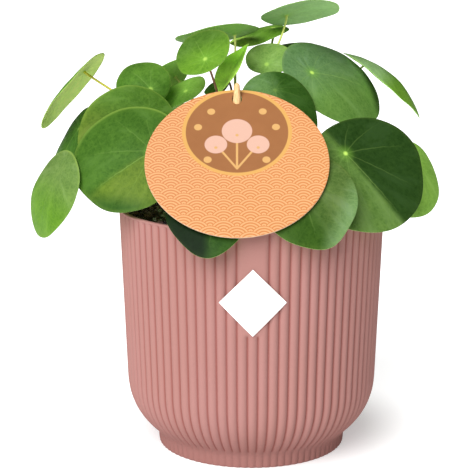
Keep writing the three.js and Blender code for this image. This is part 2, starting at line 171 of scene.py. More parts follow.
# How pale a leaf's hub is, where it isn't 1
HUBS = {
    "left_low": 0, "behind_card": 0.1, "far_right": 0.2, "left_dark": 0.2, "right_low": 0.2,
    "left_broad": 0.2, "left_dome": 0.5, "left_mid": 0.5, "top_pale": 0.5, "top_bright": 0.6,
}
# How pale its rim is, and how strong the painted highlight along its upper part, where it isn't a
# half
RIMS = {
    "front_left": 0.75, "left_broad": 0.6, "left_low": 0.7, "right_dark": 0.1, "behind_card": 0.2,
    "front_low": 0.1, "left_dark": 0.1, "right_big": 0.3, "front_right": 0.35,
}
# How far a blade runs out to a point at its tip and at its base, as a share of its length, where
# that isn't 0.03 and 0
POINTS = {
    "front_low": (0.07, 0), "far_left": (0.02, 0.03), "far_right": (0.05, 0),
    "right_dark": (0.02, 0), "young": (0.08, 0),
}


# Meshes


def skin(rings, looped=False):
    """Joins rings of points into one surface. A ring is an array of points, or one point.

    The rings run anticlockwise seen from the first ring's side, and the surface faces that way
    at the start. Returns points, faces, and for each face corner its ring and its column, where
    the column after the last is the first one again.
    """
    rings = [np.atleast_2d(ring) for ring in rings]
    starts = np.cumsum([0] + [len(ring) for ring in rings])
    count = max(len(ring) for ring in rings)
    here, after = np.arange(count), np.arange(1, count + 1)
    faces, places = [], []
    pairs = [(i, i + 1) for i in range(len(rings) - 1)]
    if looped:
        pairs.append((len(rings) - 1, 0))
    for i, j in pairs:
        corners = []
        for ring, column in ((i, here), (j, here), (j, after), (i, after)):
            single = len(rings[ring]) == 1
            vertex = starts[ring] + (0 * column if single else column % count)
            corners.append((vertex, ring, column))
        if len(rings[i]) == 1:
            corners.pop()
        elif len(rings[j]) == 1:
            corners.pop(2)
        faces.extend(np.stack([vertex for vertex, _, _ in corners], 1).tolist())
        for k in range(count):
            places.extend((ring, column[k]) for _, ring, column in corners)
    return np.concatenate(rings), faces, np.array(places)


def make_mesh(name, points, faces, smooth=True):
    mesh = bpy.data.meshes.new(name)
    mesh.from_pydata((np.asarray(points) * MM).tolist(), [], faces)
    mesh.polygons.foreach_set("use_smooth", [smooth] * len(mesh.polygons))
    mesh.update()
    return mesh


def set_values(mesh, name, kind, domain, values):
    """Writes an attribute of colours or vectors, one for each point or face corner."""
    field = "color" if kind == "FLOAT_COLOR" else "vector"
    attribute = mesh.attributes.new(name, kind, domain)
    attribute.data.foreach_set(field, np.asarray(values, np.float32).ravel())


def add_piece(name, mesh, material, slot, *nodes):
    """Adds a piece that stands for CAD nodes."""
    piece = bpy.data.objects.new(name, mesh)
    bpy.context.scene.collection.objects.link(piece)
    mesh.materials.append(material)
    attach(piece, "root")
    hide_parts(*nodes)
    return piece


def circle(count):
    angles = 2 * math.pi * np.arange(count) / count
    return angles, np.cos(angles), np.sin(angles)


def stacked(x, y, z):
    """Rows of three values. The last one may be the same in all."""
    return np.stack([x, y, 0 * x + z], 1)


def slanted(bearing, outward, upward):
    """The vector that leads outward at a bearing from +X, and upward."""
    return Vector((outward * math.cos(bearing), outward * math.sin(bearing), upward))


def tube(path, radii, sides):
    """Rings round a path, from its last point to its first, with both ends closed."""
    path = np.asarray(path, float)
    tangents = np.gradient(path, axis=0)
    tangents /= np.linalg.norm(tangents, axis=1)[:, None]
    side = np.cross(tangents[0], [0.3, 0.9, 0.2])
    _, cos, sin = circle(sides)
    rings = []
    for point, tangent, radius in zip(path, tangents, radii):
        side = side - tangent * (side @ tangent)
        side /= np.linalg.norm(side)
        other = np.cross(tangent, side)
        rings.append(point + radius * (cos[:, None] * side + sin[:, None] * other))
    return [path[-1], *rings[::-1], path[0]]


def bezier(t, *pulls):
    """A quadratic or cubic Bezier curve at the places t."""
    t = np.asarray(t, float)[:, None]
    n = len(pulls) - 1
    return sum(
        math.comb(n, k) * (1 - t) ** (n - k) * t**k * np.asarray(pull, float)
        for k, pull in enumerate(pulls)
    )


def wobble(rng, count, angle):
    """A smooth random wave of about plus or minus 1 along some angles or lengths."""
    total = 0
    for _ in range(count):
        total = total + np.sin(rng.uniform(-1, 1) * angle + rng.uniform(0, 2 * math.pi))
    return total / math.sqrt(count)


def eased(share):
    """Cuts a share off at 0 and 1, and smooths it in between."""
    share = np.clip(share, 0, 1)
    return share**2 * (3 - 2 * share)


# Node trees


class Term:
    """A socket that arithmetic can be done on."""

    def __init__(self, graph, socket):
        self.graph = graph
        self.socket = socket

    def __add__(self, other):
        return self.graph.math("ADD", self, other)

    def __sub__(self, other):
        return self.graph.math("SUBTRACT", self, other)

    def __rsub__(self, other):
        return self.graph.math("SUBTRACT", other, self)

    def __mul__(self, other):
        return self.graph.math("MULTIPLY", self, other)

    def __truediv__(self, other):
        return self.graph.math("DIVIDE", self, other)

    __radd__ = __add__


class Graph:
    """A material's node tree round one Principled shader."""

    def __init__(self, name, **values):
        self.material = bpy.data.materials.new(name)
        self.material.use_nodes = True
        self.nodes = self.material.node_tree.nodes
        self.links = self.material.node_tree.links
        self.shader = self.nodes["Principled BSDF"]
        for socket, value in values.items():
            self.put(value, self.shader.inputs[socket.replace("_", " ")])

    def put(self, value, socket):
        if isinstance(value, Term):
            self.links.new(value.socket, socket)
        else:
            socket.default_value = value

    def node(self, kind, inputs, output=0, **settings):
        node = self.nodes.new(kind)
        for key, value in settings.items():
            setattr(node, key, value)
        for key, value in inputs.items():
            self.put(value, node.inputs[key])
        return Term(self, node.outputs[output])

    def math(self, operation, *values):
        return self.node("ShaderNodeMath", dict(enumerate(values)), operation=operation)

    def hypot(self, x, y):
        return self.math("SQRT", x * x + y * y)

    def step(self, value, low, high):
        """0 below low, 1 above high, and smooth in between. It falls where low is above high."""
        inputs = {"Value": value, "From Min": low, "From Max": high}
        return self.node("ShaderNodeMapRange", inputs, interpolation_type="SMOOTHSTEP")

    def mix(self, share, first, second, blend="MIX"):
        inputs = {0: share, 6: first, 7: second}
        return self.node("ShaderNodeMix", inputs, 2, data_type="RGBA", blend_type=blend)

    def times(self, color, *factors):
        """A colour with its red, green and blue multiplied."""
        return self.mix(1.0, color, (*factors, 1), "MULTIPLY")

    def attribute(self, name, output="Vector"):
        return self.node("ShaderNodeAttribute", {}, output, attribute_name=name)

    def parts(self, vector):
        node = self.nodes.new("ShaderNodeSeparateXYZ")
        self.put(vector, node.inputs[0])
        return [Term(self, socket) for socket in node.outputs]

    def join(self, x, y, z):
        return self.node("ShaderNodeCombineXYZ", {0: x, 1: y, 2: z})

    def place(self):
        """The point in the row frame, in metres."""
        return self.node("ShaderNodeTexCoord", {}, "Object")

    def scaled(self, vector, x, y, z):
        inputs = {0: vector, 1: (x, y, z)}
        return self.node("ShaderNodeVectorMath", inputs, operation="MULTIPLY")

    def noise(self, vector, scale, detail=3.0, rough=0.55):
        inputs = {"Vector": vector, "Scale": scale, "Detail": detail, "Roughness": rough}
        return self.node("ShaderNodeTexNoise", inputs, "Fac")

    def cell_edge(self, vector, scale):
        """How far a point lies from the edge of its random cell."""
        inputs, kind = {"Vector": vector, "Scale": scale}, "ShaderNodeTexVoronoi"
        return self.node(kind, inputs, "Distance", feature="DISTANCE_TO_EDGE")

    def bump(self, height, distance, strength):
        inputs = {"Height": height, "Distance": distance, "Strength": strength}
        return self.node("ShaderNodeBump", inputs, "Normal")

    def finish(self, color, roughness, normal):
        values = {"Base Color": color, "Roughness": roughness, "Normal": normal}
        for name, value in values.items():
            self.put(value, self.shader.inputs[name])
        return self.material


# Leaf blades

LEAF_THICKNESS = 0.9  # at the hub
LEAF_EDGE = 0.5  # at the rim
HUB_SETBACK = 0.26  # from the base to the hub, as a share of the length
HUB_DIMPLE, DIMPLE_RADIUS = 0.3, 3.2
RIM_WAVE = 0.5
RIM_ROUND, RIM_SWELL = 0.06, 0.14
ROLL_START, ROLL_DROP = 0.86, 0.5  # near the rim the blade rolls down
RIPPLE, SWAY = 0.12, 0.3  # its small bumps and its larger waves
VEIN_ANGLES = (-180, -143, -108, -72, -36, 0, 36, 72, 108, 143, 180)
VEIN_STEP = 0.63  # the usual angle between two of them, in radians
VEIN_DEPTH, VEIN_WIDTH = 0.16, 1.1
BRANCH_GAP = 3.6  # from one branching vein to the next
WEDGE_SIZE, WEDGE_SHIFT = 2.3, 14  # the shift gives each leaf wedges of its own
LEAF_RINGS = 30
LEAF_COLUMNS = 112


def leaf_axes(lean, tilt, turn):
    """The blade's tip, across and normal directions."""
    lean, tilt, turn = (math.radians(angle) for angle in (lean, tilt, turn))
    normal = slanted(lean, math.sin(tilt), math.cos(tilt))
    downhill = slanted(lean, math.cos(tilt), -math.sin(tilt))
    across = normal.cross(downhill)
    tip = downhill * math.cos(turn) + across * math.sin(turn)
    return np.array(tip), np.array(normal.cross(tip)), np.array(normal)


def leaf_material():
    graph = Graph("leaf_skin", Specular_IOR_Level=0.06)
    vein, reach, outward = graph.parts(graph.attribute("veins"))
    rise, hub, side = graph.parts(graph.attribute("spot"))
    tone, rim_paleness_and_highlight = graph.attribute("tone", "Color"), graph.attribute("tone", "Alpha")
    place = graph.place()
    # Main veins run out from the hub, the one to the tip strongest, and finer ones branch off them
    drift = (graph.noise(place, 260, 2) - 0.5) * 0.1
    off = graph.math("ABSOLUTE", vein + drift - graph.math("ROUND", vein + drift))
    apart = off * reach * VEIN_STEP
    main = graph.step(apart, 0.5, 0.08) * graph.step(outward, 1.0, 0.3) * (hub * 0.6 + 0.4)
    midrib = graph.step(graph.math("ABSOLUTE", vein), 0.5, 0.4)
    branch = (reach - apart * 0.9) / BRANCH_GAP + graph.noise(place, 150, 2) * 0.9
    branch_off = graph.math("ABSOLUTE", graph.math("FRACT", branch) - 0.5)
    fine = graph.step(branch_off, 0.1, 0.0) * graph.step(off, 0.02, 0.12)
    fine = fine * graph.step(off, 0.5, 0.36)
    net = graph.step(graph.cell_edge(place, 420), 0.2, 0.0)
    # Soft clouds and fine specks, which show most on dark leaves and least on an underside
    cloud = graph.step(graph.noise(place, 48, 4, 0.6), 0.3, 0.72)
    blotch = graph.step(graph.noise(place, 210, 3, 0.6), 0.35, 0.75)
    patch = graph.step(graph.noise(place, 430, 3, 0.7), 0.42, 0.68)
    speck = graph.noise(place, 1100, 2)
    shaded = graph.times(tone, 0.66, 0.74, 0.58)
    lighter = graph.times(tone, 1.36, 1.24, 1.2)
    # A whitish painted sheen colour, for the lighter wedges below
    sheen_tone = graph.times(tone, 1.5, 1.3, 1.75)
    _, green, _ = graph.parts(tone)
    dark = graph.step(green, 0.24, 0.13)
    upper = 1 - side * 0.6
    color = graph.mix(cloud * (0.75 - side * 0.5), tone, shaded)
    mottle = blotch * (dark * 0.3 + 0.5) + graph.step(speck, 0.4, 0.75) * 0.2
    color = graph.mix(mottle, color, lighter)
    color = graph.mix(patch * (dark * 0.6 + 0.3) * upper, color, shaded)
    # Soft wedges, lighter and darker, that spread out from the hub; the lighter ones are a whitish
    # painted sheen
    turn = vein * (2 * math.pi / (len(VEIN_ANGLES) - 1))
    cos, sin = graph.math("COSINE", turn), graph.math("SINE", turn)
    x, y, z = (part * WEDGE_SHIFT for part in graph.parts(place))
    wedge = graph.noise(graph.join(cos + x, sin + y, outward * 0.6 + z), WEDGE_SIZE, 3, 0.6)
    spread = graph.step(outward, 0.05, 0.5) * upper
    sheen_streak = graph.step(wedge, 0.5, 0.68) * spread * (dark * 0.3 + 0.48)
    shade = graph.step(wedge, 0.48, 0.34) * spread * (dark * 0.3 + 0.4)
    color = graph.mix(shade, graph.mix(sheen_streak, color, sheen_tone), shaded)
    # The veins are a little lighter
    color = graph.mix(fine * 0.35 + net * 0.3, color, lighter)
    color = graph.mix(main * (0.1 + midrib * 0.09 + side * 0.15), color, srgb(150, 184, 96))
    # The rim is a pale line, and a painted highlight makes it paler where it is uppermost; there a
    # painted highlight also pales the blade towards it
    rim = graph.step(outward, 0.935, 0.99) * (graph.step(rise, -0.3, 0.7) * 0.5 + 0.14) * rim_paleness_and_highlight
    rim_highlight = graph.step(outward, 0.84, 1.0) * graph.step(rise, 0.1, 0.85) * (1 - side) * rim_paleness_and_highlight
    color = graph.mix(rim_highlight * 0.45, color, graph.times(tone, 1.9, 1.5, 1.5))
    color = graph.mix(rim, color, srgb(130, 158, 68))
    # The hub is a small pale eye in a soft halo
    color = graph.mix(graph.step(reach, 6.0, 1.0) * 0.3 * hub, color, srgb(124, 176, 66))
    color = graph.mix(graph.step(reach, 1.7, 0.5) * hub, color, srgb(178, 214, 98))
    roughness = 0.4 + cloud * 0.1 + side * 0.2 + speck * 0.06
    height = main * (0.6 + midrib) * -0.7 + fine * -0.35 + net * -0.12 + speck * 0.15
    return graph.finish(color, roughness, graph.bump(height * (1 - side * 2), 0.0001, 0.7))


def build_leaf(index, leaf, material):
    name, hub, lean, tilt, turn, length, width, dome, fold, curl, _ = leaf
    main, second, way, sharp, gain, under, _, slot = LOOKS[name]
    rng = np.random.RandomState(100 + index)
    tip, across, normal = leaf_axes(lean, tilt, turn)
    middle = (0.5 - HUB_SETBACK) * length
    angle = np.linspace(-math.pi, math.pi, LEAF_COLUMNS + 1)
    cos, sin = np.cos(angle), np.sin(angle)
    uneven = 1 + 0.008 * np.sin(3 * angle + index) + 0.006 * np.sin(7 * angle + 2 * index)
    tip_point, base_point = POINTS.get(name, (0.03, 0))
    point = length * (tip_point * np.maximum(0, cos) ** 10 - base_point * np.maximum(0, -cos) ** 10)
    rim_x = (middle + length / 2 * cos + point) * uneven
    rim_y = width / 2 * sin * uneven
    # Vein coordinate: a whole number on each main vein, which bends towards the tip
    bearing = np.degrees(np.arctan2(rim_y, rim_x))
    bearing[0], bearing[-1] = -180, 180
    # A sharp change of colour lies along a main vein
    crease = (way % 180 - 90) if sharp > 2 else 0
    jitter = np.concatenate([[0], rng.uniform(-6, 6, len(VEIN_ANGLES) - 2), [0]])
    veins = np.array(VEIN_ANGLES) + jitter

    def vein_at(outward):
        bent = bearing * (1 + 0.16 * outward * np.sin(np.radians(np.abs(bearing))))
        turned = (bent - crease + 180) % 360 - 180
        return np.interp(turned, veins, np.arange(len(veins)) - len(veins) // 2)

    phases = rng.uniform(0, 2 * math.pi, 4)

    def surface(outward):
        """The blade's top at a share of the way out: x, y, height, vein and distance."""
        x, y = rim_x * outward, rim_y * outward
        along, aside = (x - middle) / (length / 2), y / (width / 2)
        start = -middle / (length / 2)
        height = dome * (start**2 - along**2 - aside**2)
        height += fold * (np.sqrt(aside**2 + 0.0025) - 0.05)
        height -= curl * np.maximum(0, along) ** 2
        height += RIM_WAVE * outward**2 * np.sin(3 * angle + index)
        reach = np.hypot(x, y)
        vein = vein_at(outward)
        off = np.abs(vein - np.round(vein)) * VEIN_STEP * reach
        height -= VEIN_DEPTH * np.exp(-((off / VEIN_WIDTH) ** 2)) * outward * (1.15 - outward) * 2
        bumps = RIPPLE * np.sin(x / 3.1 + phases[0]) * np.sin(y / 3.4 + phases[1])
        height += bumps * min(1, outward * 2)
        height += SWAY * outward * np.sin(x / 9 + phases[2]) * np.sin(y / 8 + phases[3])
        height -= HUB_DIMPLE * np.exp(-((reach / DIMPLE_RADIUS) ** 2))
        rolled = max(0, outward - ROLL_START)
        height -= ROLL_DROP * rolled / (1 - ROLL_START) * rolled
        return x, y, height, vein, reach

    # From the hub over the top, round the rim and back below. Each row has its share of the way
    # out, its lift off the top, how far it swells past the rim, and 1 on the underside
    steps = np.linspace(0, 1, LEAF_RINGS + 1) ** 0.85
    rows = [(outward, 0.0, 0.0, 0) for outward in steps[:-1]]
    rows.append((1.0, -RIM_ROUND, 0.0, 0))
    rows.append((1.0, -LEAF_EDGE * 0.28, RIM_SWELL, 0))
    rows.append((1.0, -LEAF_EDGE * 0.72, RIM_SWELL, 1))
    for outward in steps[::-1]:
        thick = LEAF_THICKNESS + (LEAF_EDGE - LEAF_THICKNESS) * outward**2
        rows.append((outward, -thick + (RIM_ROUND if outward == 1 else 0), 0.0, 1))
    rings, vein_table, spots = [], [], []
    for outward, lift, swell, side in rows:
        x, y, height, vein, reach = surface(outward)
        if swell:
            x, y = x * (1 + swell / reach), y * (1 + swell / reach)
        flat = np.array(hub) + x[:, None] * tip + y[:, None] * across
        points = flat + (height + lift)[:, None] * normal
        kept = slice(1) if outward == 0 else slice(-1)
        rings.append(points[kept])
        spots.append(stacked(x, y, side)[kept])
        vein_table.append(stacked(vein, reach, outward))
    points, faces, places = skin(rings)
    mesh = make_mesh("leaf_" + name, points, faces)
    vein_values = np.array(vein_table)[places[:, 0], places[:, 1]]
    set_values(mesh, "veins", "FLOAT_VECTOR", "CORNER", vein_values)
    x, y, side = np.concatenate(spots).T
    rise = (points[:, 2] - points[:, 2].mean()) / (length / 2)
    spot = np.column_stack([rise, np.full(len(rise), HUBS.get(name, 1)), side])
    set_values(mesh, "spot", "FLOAT_VECTOR", "POINT", spot)

    def toward(way, x, y):
        way = math.radians(way)
        return x * math.cos(way) + y * math.sin(way)

    # Tone: the second colour lies to one side, and the underside has its own. A sharp change runs
    # through the hub, and a soft one through the blade's middle
    lean_to = toward(way, x - (middle if sharp < 2 else 0), y) / (0.5 * width)
    share = eased(0.5 + lean_to * 0.9 * sharp)[:, None]
    tone = (1 - share) * np.array(GREENS[main]) + share * np.array(GREENS[second])
    if name in EDGES:
        third, third_way, begin, full = EDGES[name]
        along = toward(third_way, (x - middle) / (0.5 * length), y / (0.5 * width))
        edge = eased((along - begin) / (full - begin))[:, None]
        tone = (1 - edge) * tone + edge * np.array(GREENS[third])
    below = np.array(GREENS[under]) * (0.82 + 0.32 * share)
    tone = np.where(side[:, None] > 0.5, below, tone * gain)
    tone[:, 3] = RIMS.get(name, 0.5)
    set_values(mesh, "tone", "FLOAT_COLOR", "POINT", tone)
    return add_piece("leaf_" + name + "_blade", mesh, material, slot, "leaf_" + name)


# Trunk and leaf stalks

TRUNK = ((-8, 11, 92), (-11, 9, 121), (-9, 10, 150))
TRUNK_RADIUS = 4
BARK = 0.15  # how far the bark stands out, and how uneven it is
SCAR_DEPTH = 0.35
GREEN_FROM, GREEN_SPAN = 118, 30
CROWN_RADIUS = 5.2
SCALES, SCALE_TURN, SCALE_REACH = 16, 2.4, 4.6
SCALE_RADII = (0.9, 1.0, 0.85, 0.6, 0.35, 0.08)
STALK_SIDES = 12
STALK_STEPS = 26
STALK_SPREAD = 0.33
STALK_RISE = 0.1
STALK_BEND = 0.1
SMALL_LEAF, SMALL_STALK = 25, 0.75  # a leaf shorter than this has a thinner stalk


def stem_material():
    graph = Graph("stem_skin", Specular_IOR_Level=0.45)
    place = graph.place()
    tone = graph.attribute("tone", "Color")
    streak = graph.noise(graph.scaled(place, 1, 1, 0.25), 700, 4)
    cloud = graph.noise(place, 160, 3)
    dark = graph.times(tone, 0.6, 0.55, 0.5)
    color = graph.mix(graph.step(streak, 0.35, 0.7) * 0.45, tone, dark)
    color = graph.mix(graph.step(cloud, 0.45, 0.7) * 0.2, color, srgb(196, 190, 120))
    return graph.finish(color, 0.42 + streak * 0.2, graph.bump(streak, 0.0002, 0.6))


def build_stem():
    points, faces, tones, count = [], [], [], 0

    def add(rings, tone):
        nonlocal count
        new_points, new_faces, _ = skin(rings)
        points.append(new_points)
        faces.extend([[count + corner for corner in face] for face in new_faces])
        tones.append(np.broadcast_to(tone, (len(new_points), 4)))
        count += len(new_points)

    rng = np.random.RandomState(7)
    # Trunk, with the rings of fallen leaves, brown below and green towards the top
    steps = np.linspace(0, 1, 70)
    line = bezier(steps, *TRUNK)
    foot, crown = TRUNK[0][2], TRUNK[2][2]
    scars = SCAR_DEPTH * np.maximum(0, np.sin((line[:, 2] - foot) * 1.15)) ** 6
    radii = TRUNK_RADIUS + BARK + scars + BARK * wobble(rng, 4, steps * 30)
    radii[0] = TRUNK_RADIUS * 0.7
    rings = tube(line, radii, 28)
    bark, green = np.array(srgb(106, 84, 58)), np.array(srgb(120, 118, 66))
    heights = np.concatenate([np.atleast_2d(ring)[:, 2] for ring in rings])
    share = np.clip((heights - GREEN_FROM) / GREEN_SPAN, 0, 1)[:, None]
    add(rings, bark * (1 - share) + green * share)
    # Crown: a rough bud with small brown scales
    angles, cos, sin = circle(28)
    top = np.array(TRUNK[2])
    rings = [top + UP * CROWN_RADIUS]
    for level in np.linspace(0.12, 0.95, 14):
        rough = 1 + 0.07 * np.sin(5 * angles + level * 9) * math.sin(math.pi * level)
        radius = CROWN_RADIUS * math.sin(math.pi * level) * rough
        height = CROWN_RADIUS * math.cos(math.pi * level)
        rings.append(top + stacked(radius * cos, radius * sin, height))
    rings.append(top - UP * CROWN_RADIUS)
    add(rings, np.array(srgb(126, 122, 62)))
    for k in range(SCALES):
        out = np.array([math.cos(SCALE_TURN * k), math.sin(SCALE_TURN * k), 0])
        base = top + out * SCALE_REACH + UP * rng.uniform(-3, 3.5)
        path = base + np.linspace(0, 1, 6)[:, None] * (out * 0.7 + UP) * rng.uniform(2.2, 3.6)
        add(tube(path, SCALE_RADII, 8), np.array(srgb(124, 92, 56)))
    # Stalks, as the part's source bends them, and flared where they meet the blade
    t = np.linspace(0, 1, STALK_STEPS)
    for name, hub, lean, tilt, turn, length, *_, start_height in LEAVES:
        normal = leaf_axes(lean, tilt, turn)[2]
        start = bezier([(start_height - foot) / (crown - foot)], *TRUNK)[0]
        end = np.array(hub) - normal * 1.2
        reach = np.linalg.norm(end - start)
        leave = start + (end - start) * STALK_SPREAD + UP * STALK_RISE * reach
        arrive = end - normal * STALK_BEND * reach
        path = bezier(t, start, leave, arrive, end)
        path[-1] = np.array(hub) - normal * 0.5
        radii = 0.54 + 0.28 * (1 - t) + 0.5 * (1 - t) ** 4 + 0.04 * np.sin(9 * t + reach)
        radii[-3:] += [0.03, 0.1, 0.25]
        rings = tube(path, radii * (SMALL_STALK if length < SMALL_LEAF else 1), STALK_SIDES)
        counts = [len(np.atleast_2d(ring)) for ring in rings]
        share = np.repeat([1, *t[::-1], 0], counts)[:, None]
        tone = np.array(GREENS[LOOKS[name][6]])
        add(rings, tone * (0.8 + 0.35 * share) * (1, 1, 1, 0) + (0, 0, 0, 1))
    mesh = make_mesh("plant_stem", np.concatenate(points), faces)
    set_values(mesh, "tone", "FLOAT_COLOR", "POINT", np.concatenate(tones))
    return add_piece("stem_and_stalks", mesh, stem_material(), "stem", "plant_stem")


# Pot

RIM_RADIUS, RIM_HEIGHT = 69.5, 128
WALL_END = (66, 37)
BELLY = (WALL_END, (65.3, 22), (57.7, 13.7), (49.6, 7.2))
FOOT = (
    (51.4, 8.55), (50.85, 7.85), (50.4, 7.0), (50.1, 6.1), (49.9, 5.1), (49.8, 4.0), (49.72, 2.9),
    (49.65, 1.8), (49.5, 0.8), (49.25, 0.3),
)
POT_WALL = 2.4
POT_FLOOR = 4
RIBS = 80
RIB_DEPTH = 1.3
FOOT_RIB_DEPTH = 0.6
STRIP_RIBS = 3
STRIP_FOOT = 75
RIB_COLUMNS = 14
FRONT = -math.pi / 2


def wall_radius(height):
    share = (height - WALL_END[1]) / (RIM_HEIGHT - WALL_END[1])
    return WALL_END[0] + (RIM_RADIUS - WALL_END[0]) * share


def pot_material():
    graph = Graph("pot_plastic", Specular_IOR_Level=0.03)
    place = graph.place()
    groove, inside, _ = graph.parts(graph.attribute("groove"))
    grain = graph.noise(place, 1800, 3, 0.6)
    cloud = graph.noise(graph.scaled(place, 1, 1, 0.5), 30, 3)
    pink = srgb(158, 115, 110)
    color = graph.mix(graph.step(cloud, 0.3, 0.7) * 0.4, pink, srgb(154, 110, 102))
    color = graph.mix(graph.step(grain, 0.5, 0.8) * 0.12, color, srgb(172, 131, 123))
    # Painted shade: the grooves are darker and redder
    color = graph.mix(graph.step(groove, 0.4, 1.0) * 0.55, color, srgb(118, 40, 30))
    # Painted shade: the inside wall is darker and redder
    color = graph.mix(inside * 0.5, color, srgb(140, 62, 48))
    # Painted shade: the wall darkens towards the foot
    _, _, height = graph.parts(place)
    color = graph.mix(graph.step(height, 0.03, 0.0) * 0.4, color, srgb(118, 73, 66))
    return graph.finish(color, 0.58 + grain * 0.16, graph.bump(grain, 0.00008, 0.6))


def build_pot():
    columns = RIBS * RIB_COLUMNS
    rib = np.arange(columns) / RIB_COLUMNS
    angles = FRONT + (rib + STRIP_RIBS / 2) * 2 * math.pi / RIBS
    cos, sin = np.cos(angles), np.sin(angles)
    to_groove = np.abs(rib - np.round(rib))
    in_strip = rib > RIBS - STRIP_RIBS
    to_edge = np.where(in_strip, np.minimum(RIBS - rib, rib - (RIBS - STRIP_RIBS)), to_groove)

    def profile(distance):
        # Each rib is a shallow round, and two of them meet in a crease
        return (1 - np.minimum(1, distance * 2)) ** 2

    full, strip = profile(to_groove), profile(to_edge)
    rings, grooves = [], []

    def centre(height):
        rings.append(np.array([[0, 0, height]]))
        grooves.append(np.zeros(1))

    def ring(radius, height, depth=0.0, strip_share=0.0):
        cut = (strip * strip_share + full * (1 - strip_share)) * depth
        rings.append(stacked((radius - cut) * cos, (radius - cut) * sin, height))
        grooves.append(cut / RIB_DEPTH)

    # Inside, from the floor up to the lip
    centre(POT_FLOOR)
    ring(12, POT_FLOOR)
    ring(40, POT_FLOOR)
    for along in (0.95, 0.85, 0.75, 0.6, 0.45, 0.3, 0.15):
        before, spot, after = bezier([along - 0.02, along, along + 0.02], *BELLY)
        slope = after - before
        inward = np.array([slope[1], -slope[0]]) / np.hypot(*slope)
        ring(*(spot + inward * POT_WALL))
    for height in (WALL_END[1], 60, 90, 110, 120, 125, 127):
        ring(wall_radius(height) - POT_WALL, height)
    inner_rim = RIM_RADIUS - POT_WALL
    ring(inner_rim + 0.08, RIM_HEIGHT - 0.35)
    inside_count = sum(len(points) for points in rings)
    # The lip's round top
    ring(inner_rim + 0.35, RIM_HEIGHT - 0.06)
    ring(inner_rim + 0.8, RIM_HEIGHT)
    ring(RIM_RADIUS - 0.7, RIM_HEIGHT)
    ring(RIM_RADIUS - 0.25, RIM_HEIGHT - 0.1)
    ring(RIM_RADIUS, RIM_HEIGHT - 0.5)
    # The wall down to the foot. Its ribs deepen below the lip, and cross the strip below its end
    for below_rim, share in ((0.8, 0.0), (1.0, 0.25), (1.3, 0.6), (1.7, 0.85), (2.2, 0.97)):
        height = RIM_HEIGHT - below_rim
        ring(wall_radius(height), height, RIB_DEPTH * share, 1)
    for height in np.linspace(RIM_HEIGHT - 2.8, STRIP_FOOT + 1.2, 9):
        ring(wall_radius(height), height, RIB_DEPTH, 1)
    for rise, strip_share in ((0.4, 0.75), (-0.4, 0.25), (-1.2, 0)):
        ring(wall_radius(STRIP_FOOT + rise), STRIP_FOOT + rise, RIB_DEPTH, strip_share)
    for height in (65, 55, 45):
        ring(wall_radius(height), height, RIB_DEPTH)
    for radius, height in bezier(np.linspace(0, 0.87, 18), *BELLY):
        ring(radius, height, RIB_DEPTH)
    for radius, height in FOOT:
        ring(radius, height, FOOT_RIB_DEPTH)
    ring(FOOT[-1][0] - 0.5, 0, FOOT_RIB_DEPTH * 0.6)
    centre(0)
    points, faces, _ = skin(rings)
    mesh = make_mesh("pot", points, faces)
    depth = np.concatenate(grooves)
    inside = np.arange(len(points)) < inside_count
    set_values(mesh, "groove", "FLOAT_VECTOR", "POINT", stacked(depth, inside, 0))
    return add_piece("ribbed_pot", mesh, pot_material(), "pot_wall", "pot")


# Label

LABEL_HALF = 17
LABEL_MIDDLE = 92
LABEL_GAP = 0.3
LABEL_THICKNESS = 0.6
LABEL_CELLS = 28  # along each side


def label_material():
    graph = Graph("label_paper", Specular_IOR_Level=0.5)
    place = graph.place()
    fibre = graph.noise(place, 2500, 3)
    cloud = graph.noise(place, 90, 2)
    color = graph.mix(graph.step(cloud, 0.3, 0.7) * 0.5, srgb(250, 250, 249), srgb(244, 244, 242))
    return graph.finish(color, 0.34 + fibre * 0.12, graph.bump(fibre, 0.00003, 0.5))


def build_label():
    """A square on its corner, wrapped round the wall, as rings from its middle out and back."""
    tips = np.array([(1, 0), (0, 1), (-1, 0), (0, -1)])
    cells = np.linspace(0, 1, LABEL_CELLS, endpoint=False)[:, None]
    sides = [tip + (after - tip) * cells for tip, after in zip(tips, np.roll(tips, -1, axis=0))]
    edge = np.concatenate(sides) * LABEL_HALF

    def lifted(share, lift):
        across, up = edge[:, 0] * share, edge[:, 1] * share
        radius = wall_radius(LABEL_MIDDLE + up) + LABEL_GAP + lift
        angle = FRONT + across / RIM_RADIUS
        return stacked(radius * np.cos(angle), radius * np.sin(angle), LABEL_MIDDLE + up)

    rings = [lifted(0, LABEL_THICKNESS)[:1]]
    rings += [lifted(share, LABEL_THICKNESS) for share in np.linspace(0.08, 0.985, 14)]
    rings += [lifted(0.995, LABEL_THICKNESS - 0.06), lifted(1, LABEL_THICKNESS - 0.2), lifted(1, 0)]
    rings += [lifted(share, 0) for share in np.linspace(0.9, 0.1, 9)]
    rings.append(lifted(0, 0)[:1])
    points, faces, _ = skin(rings)
    mesh = make_mesh("label", points, faces)
    return add_piece("blank_label", mesh, label_material(), "label_paper", "label")


# Soil

SOIL_TOP = 121
SOIL_LUMPS = 1.1
SOIL_FOOT = ((63, 36), (61, 22), (53, 14), (44, 5))
CRUMBS = 2600
CRUMB_SIZES, CLOD_SIZES = (0.45, 1.3), (1.2, 2.3)
CLOD_EVERY = 9
GRIT_SHARE = 0.12
PEAT = (84, 52, 72)
SHADES = ((70, 41, 52), (102, 62, 72), (136, 92, 100), (50, 33, 44), (168, 124, 128))
GRIT = (240, 228, 240)


